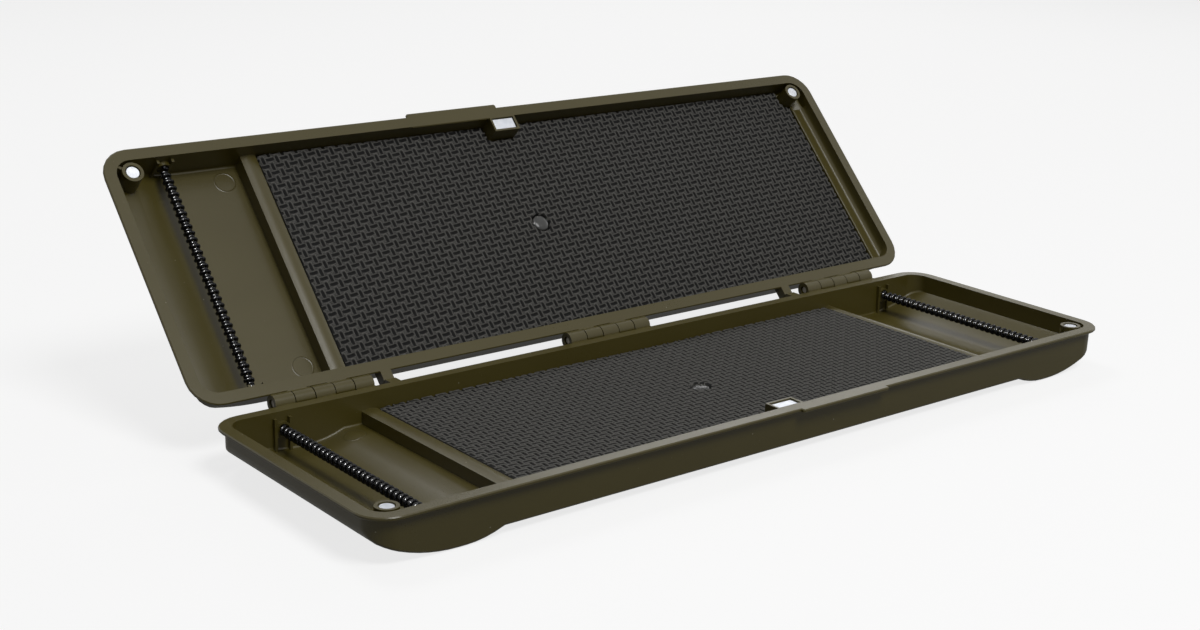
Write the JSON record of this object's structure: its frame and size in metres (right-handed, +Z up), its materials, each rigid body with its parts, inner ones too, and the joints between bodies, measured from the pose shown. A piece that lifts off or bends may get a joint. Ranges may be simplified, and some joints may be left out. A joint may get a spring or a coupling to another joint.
{
  "type": "fishing rig box",
  "caption": "Shallow hinged rig case, shown open on its stops: foam mats, spring racks for swivels in the end bays and magnets that hold it shut.",
  "frame": {"origin": "under the middle of the open case's box, on the surface that it stands on", "axes": "+X along the case to the right end seen from the front, +Y from the finger tabs back to the hinges, +Z up"},
  "size_m": [0.35, 0.1922, 0.0955],
  "materials": {
    "olive_plastic": "satin",
    "eva_foam": "matte",
    "stud_plastic": "satin",
    "spring_steel": "gloss",
    "magnet_nickel": "satin",
    "pin_steel": "satin"
  },
  "bodies": {
    "base": {"base_shell": "olive_plastic", "base_foam_mat": "eva_foam", "base_foam_stud": "stud_plastic", "base_left_spring": "spring_steel", "base_right_spring": "spring_steel", "base_left_corner_magnet": "magnet_nickel", "base_right_corner_magnet": "magnet_nickel", "base_catch_magnet": "magnet_nickel", "left_hinge_pin": "pin_steel", "middle_hinge_pin": "pin_steel", "right_hinge_pin": "pin_steel"},
    "lid": {"lid_shell": "olive_plastic", "lid_foam_mat": "eva_foam", "lid_foam_stud": "stud_plastic", "lid_spring": "spring_steel", "lid_left_corner_magnet": "magnet_nickel", "lid_right_corner_magnet": "magnet_nickel", "lid_catch_magnet": "magnet_nickel"}
  },
  "joints": [
    {"name": "lid_hinge", "type": "hinge", "parent": "base", "child": "lid", "pos_m": [0, 0.01364, 0.01685], "axis": [1, 0, 0], "range_deg": [0, 133.8]}
  ]
}
